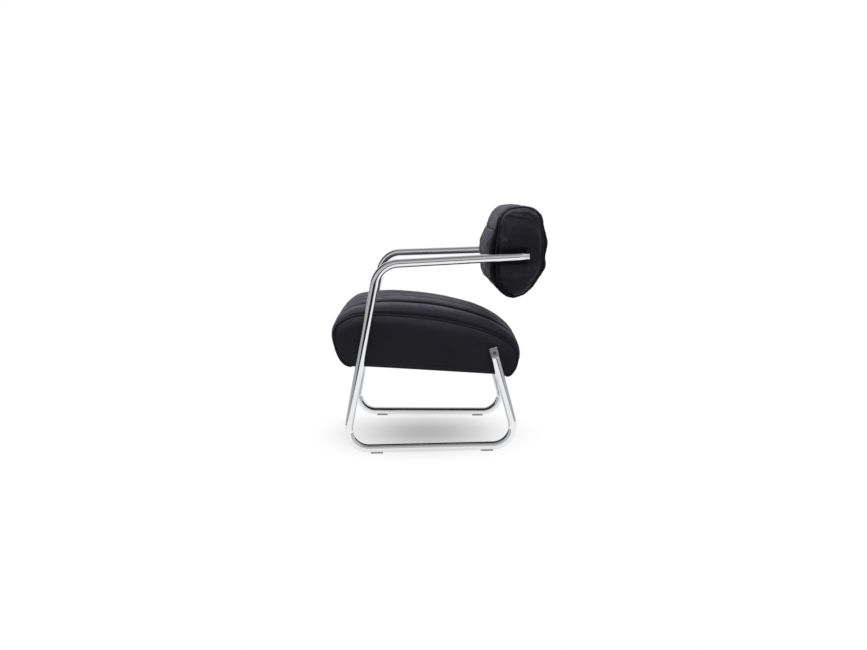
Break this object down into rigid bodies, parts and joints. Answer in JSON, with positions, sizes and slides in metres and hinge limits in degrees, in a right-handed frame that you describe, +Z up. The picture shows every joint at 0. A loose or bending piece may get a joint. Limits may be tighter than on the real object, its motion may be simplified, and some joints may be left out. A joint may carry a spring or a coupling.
{
  "type": "upholstered lounge chair",
  "caption": "Low lounge chair with a channelled seat block and a roll backrest, both upholstered and carried by two bent chromed tube side frames.",
  "frame": {"origin": "on the floor, below the middle of the chair", "axes": "+Z up, -Y is the front of the chair, +X is the sitter's left"},
  "size_m": [0.5986, 0.6559, 0.727],
  "materials": {
    "chrome": "polished",
    "leather": "soft satin, fine grain",
    "wood": "raw",
    "foam": "open-cell foam",
    "webbing": "woven webbing",
    "cloth": "woven",
    "steel": "zinc plated",
    "brass": "plain",
    "plastic": "matt"
  },
  "bodies": {
    "root": {"left_side_frame": "chrome", "right_side_frame": "chrome", "arm_end_caps": "chrome", "upright_end_caps": "chrome", "floor_glides": "plastic", "threaded_bushes": "steel", "saddle_washers": "plastic", "leg_bolts": "steel", "upright_screws": "steel", "arm_bolts": "steel", "flat_washers": "steel", "rail_inserts": "brass", "seat_left_rail": "wood", "seat_right_rail": "wood", "seat_front_rail": "wood", "seat_rear_rail": "wood", "seat_corner_blocks": "wood", "seat_rail_screws": "steel", "seat_long_belts": "webbing", "seat_cross_belts": "webbing", "seat_foam_core": "foam", "seat_bottom_cloth": "cloth", "seat_cushion": "leather", "seat_left_panel": "leather", "seat_right_panel": "leather", "back_left_board": "wood", "back_right_board": "wood", "back_upper_stretcher": "wood", "back_lower_stretcher": "wood", "back_stretcher_screws": "steel", "back_belts_front": "webbing", "back_cushion": "leather", "back_left_panel": "leather", "back_right_panel": "leather"}
  },
  "joints": []
}
